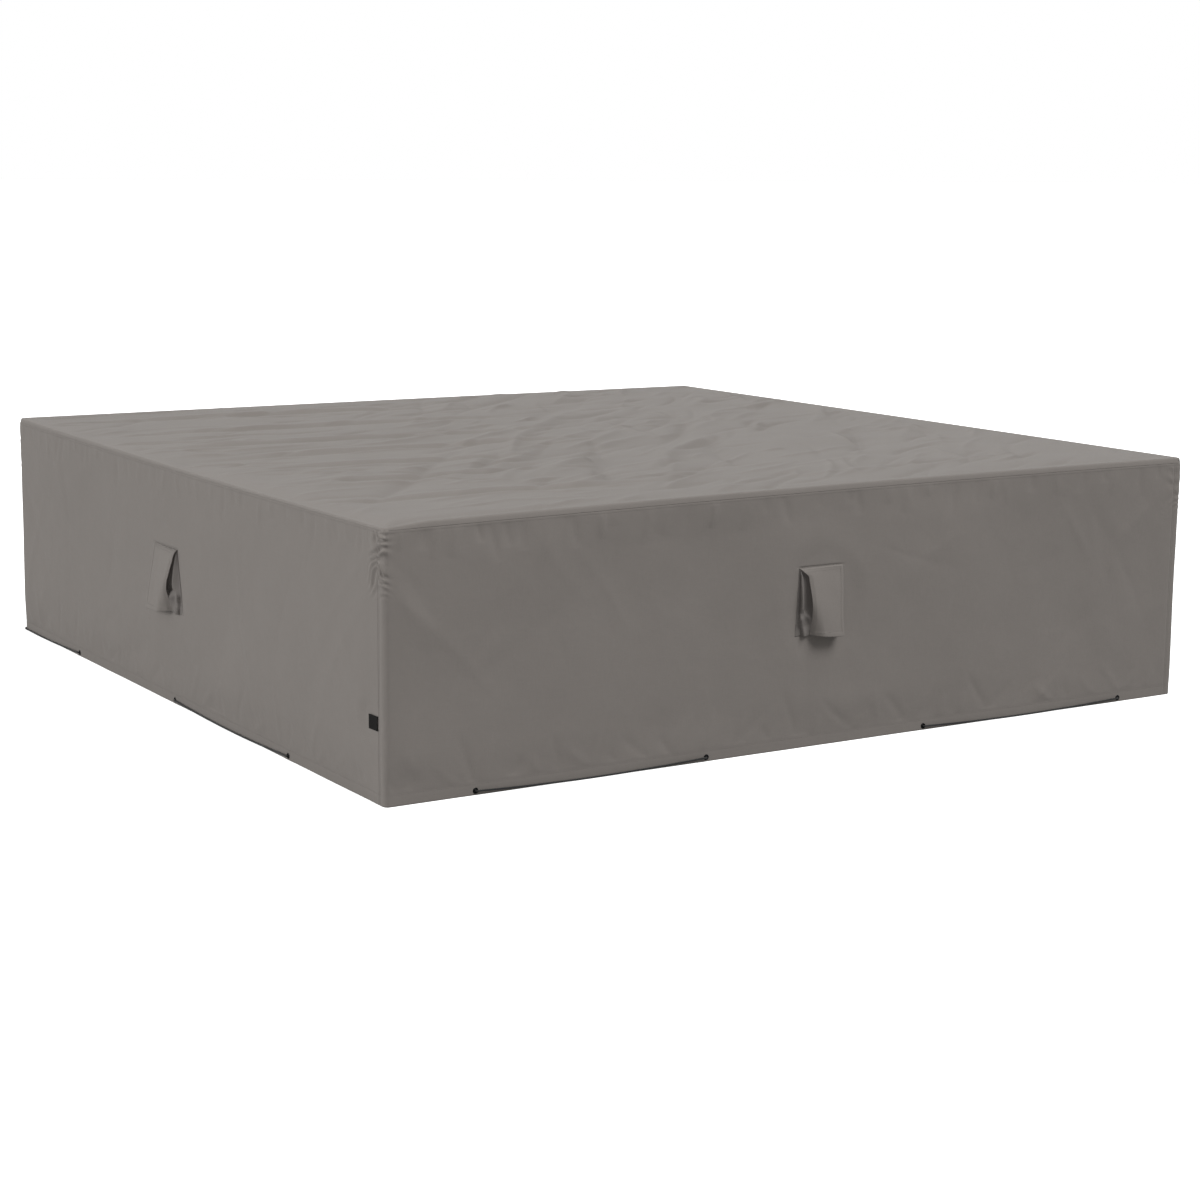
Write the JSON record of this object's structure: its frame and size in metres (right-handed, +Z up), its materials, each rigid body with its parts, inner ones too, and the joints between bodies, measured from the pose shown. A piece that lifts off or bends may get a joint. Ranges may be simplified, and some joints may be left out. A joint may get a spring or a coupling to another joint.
{
  "type": "spa cover",
  "caption": "Square fabric weather cover for a spa, with four skirts, a propped vent hood on each side and a lockable drawcord in the hem.",
  "frame": {"origin": "middle of the square footprint, on the plane that the hem rests on", "axes": "+Z up, -Y out of the front side, +X out of the right side"},
  "size_m": [2.7176, 2.7176, 0.7],
  "materials": {
    "cover_fabric": "grey coated polyester, fine plain weave, soft sheen",
    "binding": "woven tape",
    "cord": "black braided cord",
    "eyelet": "black painted rolled metal",
    "lock_plastic": "black moulded plastic",
    "spring": "spring steel",
    "label": "black woven, blank",
    "screen": "black open mesh",
    "prop": "stiffened webbing with loop tape",
    "hook_tape": "hook tape"
  },
  "bodies": {
    "cover": {"top_panel": "cover_fabric", "front_skirt": "cover_fabric", "right_skirt": "cover_fabric", "back_skirt": "cover_fabric", "left_skirt": "cover_fabric", "top_seam_binding": "binding", "front_corner_binding": "binding", "right_corner_binding": "binding", "back_corner_binding": "binding", "left_corner_binding": "binding", "drawcord": "cord", "eyelet_01": "eyelet", "eyelet_02": "eyelet", "eyelet_03": "eyelet", "eyelet_04": "eyelet", "eyelet_05": "eyelet", "eyelet_06": "eyelet", "eyelet_07": "eyelet", "eyelet_08": "eyelet", "eyelet_09": "eyelet", "eyelet_10": "eyelet", "eyelet_11": "eyelet", "eyelet_12": "eyelet", "eyelet_13": "eyelet", "eyelet_14": "eyelet", "cord_end_left": "lock_plastic", "cord_end_right": "lock_plastic", "front_vent_gusset_left": "cover_fabric", "front_vent_gusset_right": "cover_fabric", "front_vent_screen": "screen", "front_vent_hook_patch": "hook_tape", "right_vent_gusset_left": "cover_fabric", "right_vent_gusset_right": "cover_fabric", "right_vent_screen": "screen", "right_vent_hook_patch": "hook_tape", "back_vent_gusset_left": "cover_fabric", "back_vent_gusset_right": "cover_fabric", "back_vent_screen": "screen", "back_vent_hook_patch": "hook_tape", "left_vent_gusset_left": "cover_fabric", "left_vent_gusset_right": "cover_fabric", "left_vent_screen": "screen", "left_vent_hook_patch": "hook_tape"},
    "front_hood": {"front_vent_hood": "cover_fabric"},
    "front_prop": {"front_vent_prop": "prop"},
    "right_hood": {"right_vent_hood": "cover_fabric"},
    "right_prop": {"right_vent_prop": "prop"},
    "back_hood": {"back_vent_hood": "cover_fabric"},
    "back_prop": {"back_vent_prop": "prop"},
    "left_hood": {"left_vent_hood": "cover_fabric"},
    "left_prop": {"left_vent_prop": "prop"},
    "cord_lock": {"cord_lock_barrel": "lock_plastic", "cord_lock_spring": "spring"},
    "cord_lock_plunger": {"cord_lock_plunger": "lock_plastic"},
    "side_label": {"side_label": "label"}
  },
  "joints": [
    {"name": "front_hood_hinge", "type": "hinge", "parent": "cover", "child": "front_hood", "pos_m": [-0.002, -1.3262, 0.497], "axis": [1, 0, 0], "range_deg": [0, 7.5], "stiffness_Nm_per_rad": 0.6, "deforming": ["front_vent_gusset_left", "front_vent_gusset_right"]},
    {"name": "right_hood_hinge", "type": "hinge", "parent": "cover", "child": "right_hood", "pos_m": [1.3262, 0, 0.48], "axis": [0, 1, 0], "range_deg": [0, 7.5], "stiffness_Nm_per_rad": 0.6, "deforming": ["right_vent_gusset_left", "right_vent_gusset_right"]},
    {"name": "back_hood_hinge", "type": "hinge", "parent": "cover", "child": "back_hood", "pos_m": [0, 1.3262, 0.48], "axis": [-1, 0, 0], "range_deg": [0, 7.5], "stiffness_Nm_per_rad": 0.6, "deforming": ["back_vent_gusset_left", "back_vent_gusset_right"]},
    {"name": "left_hood_hinge", "type": "hinge", "parent": "cover", "child": "left_hood", "pos_m": [-1.3262, 0.05, 0.459], "axis": [0, -1, 0], "range_deg": [0, 7.5], "stiffness_Nm_per_rad": 0.6, "deforming": ["left_vent_gusset_left", "left_vent_gusset_right"]},
    {"name": "front_prop_hinge", "type": "hinge", "parent": "front_hood", "child": "front_prop", "pos_m": [-0.002, -1.34622, 0.35843], "axis": [1, 0, 0], "range_deg": [-54, 0]},
    {"name": "right_prop_hinge", "type": "hinge", "parent": "right_hood", "child": "right_prop", "pos_m": [1.34622, 0, 0.34143], "axis": [0, 1, 0], "range_deg": [-54, 0]},
    {"name": "back_prop_hinge", "type": "hinge", "parent": "back_hood", "child": "back_prop", "pos_m": [0, 1.34622, 0.34143], "axis": [-1, 0, 0], "range_deg": [-54, 0]},
    {"name": "left_prop_hinge", "type": "hinge", "parent": "left_hood", "child": "left_prop", "pos_m": [-1.34622, 0.05, 0.32043], "axis": [0, -1, 0], "range_deg": [-54, 0]},
    {"name": "cord_lock_slide", "type": "slide", "parent": "cover", "child": "cord_lock", "axis": [-1, 0, 0], "range_m": [-0.06, 0.06]},
    {"name": "cord_lock_press", "type": "slide", "parent": "cord_lock", "child": "cord_lock_plunger", "axis": [0, 0, -1], "range_m": [0, 0.0035], "stiffness_N_per_m": 800, "springref_m": -0.002, "deforming": ["cord_lock_spring"]},
    {"name": "side_label_turn", "type": "hinge", "parent": "cover", "child": "side_label", "pos_m": [-1.3262, -1.293, 0.206], "axis": [0, 0, 1], "range_deg": [0, 165], "stiffness_Nm_per_rad": 0.002}
  ],
  "couplings": [
    {"joint": "front_prop_hinge", "follows": "front_hood_hinge", "ratio": -7.2},
    {"joint": "right_prop_hinge", "follows": "right_hood_hinge", "ratio": -7.2},
    {"joint": "back_prop_hinge", "follows": "back_hood_hinge", "ratio": -7.2},
    {"joint": "left_prop_hinge", "follows": "left_hood_hinge", "ratio": -7.2}
  ]
}
